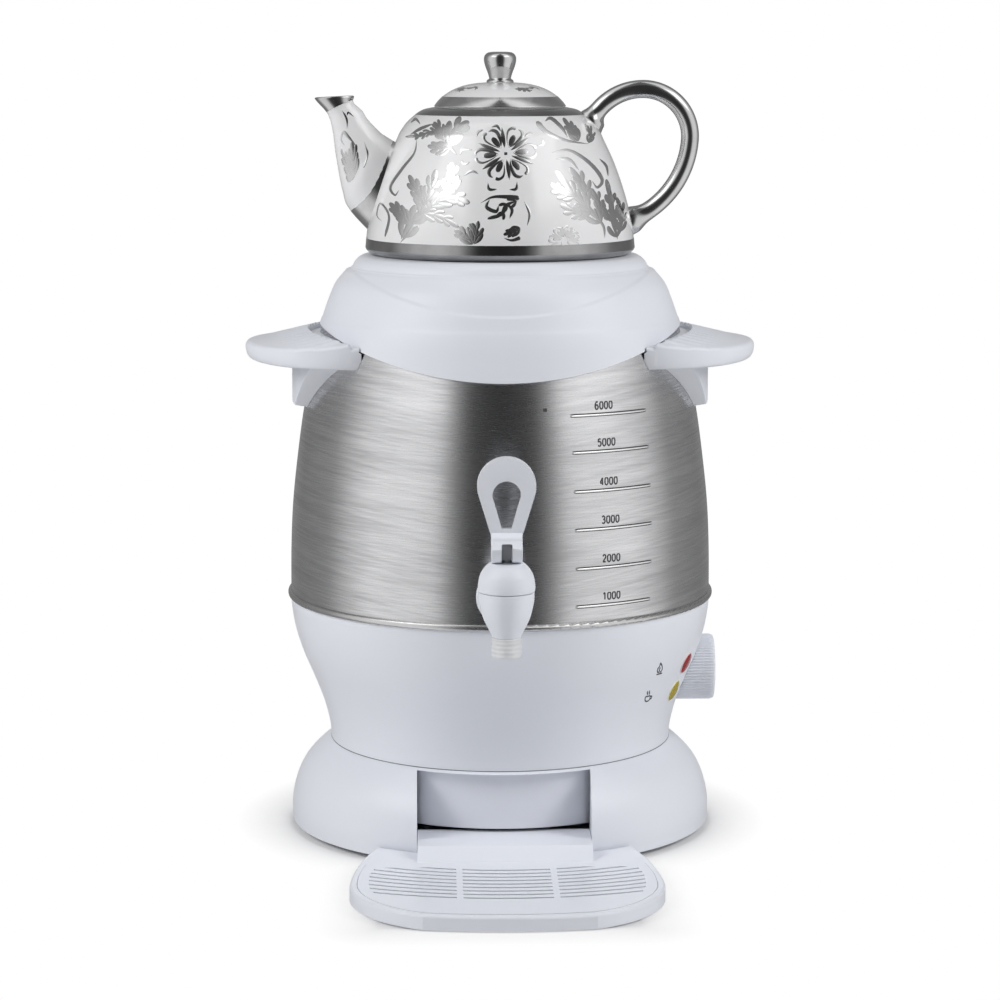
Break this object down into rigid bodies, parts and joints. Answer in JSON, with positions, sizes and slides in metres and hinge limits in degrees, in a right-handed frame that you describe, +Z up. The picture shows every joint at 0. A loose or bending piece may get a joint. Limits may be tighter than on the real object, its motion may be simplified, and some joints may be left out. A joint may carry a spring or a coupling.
{
  "type": "electric samovar",
  "caption": "Electric samovar: bulged steel water tank on a white heated base, with a lever tap, pull-out drip tray, side knob and a porcelain teapot resting on the steaming cover.",
  "frame": {"origin": "on the body's axis, on the surface that the foot ring and the drip tray rest on", "axes": "+Z up along the body's axis, -Y towards the tap and the drip tray, +X towards the knob"},
  "size_m": [0.2992, 0.3704, 0.4552],
  "materials": {
    "white_plastic": "satin white moulding",
    "tank_steel": "horizontal brushed stainless steel",
    "plain_steel": "rolled stainless steel",
    "clear_collar": "frosted translucent plastic",
    "grey_plastic": "mid grey moulding",
    "silicone": "matte silicone",
    "foot_rubber": "matte rubber",
    "red_lens": "red translucent lens",
    "amber_lens": "amber translucent lens",
    "porcelain": "white glaze with silver ornament",
    "silvered_porcelain": "silver lustre on porcelain",
    "screw_steel": "zinc plated steel",
    "plate_aluminium": "cast and milled",
    "element_steel": "heat-tinted sheath",
    "black_plastic": "black phenolic moulding",
    "fuse_ceramic": "unglazed ceramic",
    "pin_metal": "bright brass",
    "holder_plastic": "natural nylon",
    "wire_cover": "coloured silicone insulation"
  },
  "bodies": {
    "samovar": {"base_skirt": "white_plastic", "lower_housing": "white_plastic", "right_handle": "white_plastic", "left_handle": "white_plastic", "tap_body": "white_plastic", "tap_bonnet": "white_plastic", "base_plate": "white_plastic", "tank_shell": "tank_steel", "tank_floor": "plain_steel", "tank_rim": "plain_steel", "seam_bead": "plain_steel", "tap_collar": "clear_collar", "tap_nut": "grey_plastic", "tap_gasket": "silicone", "tap_inner_gasket": "silicone", "foot_ring": "foot_rubber", "red_lamp": "red_lens", "amber_lamp": "amber_lens", "base_screws": "screw_steel", "handle_screws": "screw_steel", "inlet_screws": "screw_steel", "heating_plate": "plate_aluminium", "heating_element": "element_steel", "keep_warm_element": "element_steel", "element_terminals": "element_steel", "thermostat": "black_plastic", "rotary_switch": "black_plastic", "power_inlet": "black_plastic", "thermal_fuse": "fuse_ceramic", "terminal_block": "fuse_ceramic", "inlet_pins": "pin_metal", "lamp_holders": "holder_plastic", "internal_wires": "wire_cover"},
    "cover": {"cover_shell": "white_plastic", "steam_plate": "plain_steel", "cover_gasket": "silicone"},
    "teapot": {"teapot_body": "porcelain", "teapot_spout": "porcelain", "teapot_handle": "silvered_porcelain"},
    "pot_lid": {"teapot_lid": "porcelain"},
    "stem": {"tap_stem": "grey_plastic", "tap_seat_cup": "silicone"},
    "lever": {"tap_lever": "white_plastic", "lever_pin": "screw_steel"},
    "knob": {"control_knob": "white_plastic", "switch_shaft": "black_plastic"},
    "tray": {"drip_tray": "white_plastic"},
    "grille": {"drip_grille": "white_plastic"}
  },
  "joints": [
    {"name": "cover_lift", "type": "slide", "parent": "samovar", "child": "cover", "axis": [0, 0, 1], "range_m": [0, 0.12]},
    {"name": "teapot_lift", "type": "slide", "parent": "cover", "child": "teapot", "axis": [0, 0, 1], "range_m": [0, 0.1]},
    {"name": "pot_lid_lift", "type": "slide", "parent": "teapot", "child": "pot_lid", "axis": [0, 0, 1], "range_m": [0, 0.05]},
    {"name": "stem_lift", "type": "slide", "parent": "samovar", "child": "stem", "axis": [0, 0, 1], "range_m": [0, 0.004]},
    {"name": "lever_tilt", "type": "hinge", "parent": "stem", "child": "lever", "pos_m": [0, -0.158, 0.1899], "axis": [1, 0, 0], "range_deg": [0, 75], "stiffness_Nm_per_rad": 0.05},
    {"name": "knob_turn", "type": "hinge", "parent": "samovar", "child": "knob", "pos_m": [0.116, 0, 0.0909], "axis": [1, 0, 0], "range_deg": [0, 270]},
    {"name": "tray_slide", "type": "slide", "parent": "samovar", "child": "tray", "axis": [0, -1, 0], "range_m": [0, 0.06]},
    {"name": "grille_lift", "type": "slide", "parent": "tray", "child": "grille", "axis": [0, 0, 1], "range_m": [0, 0.03]}
  ],
  "couplings": [
    {"joint": "stem_lift", "follows": "lever_tilt", "m_per_rad": 0.003}
  ]
}
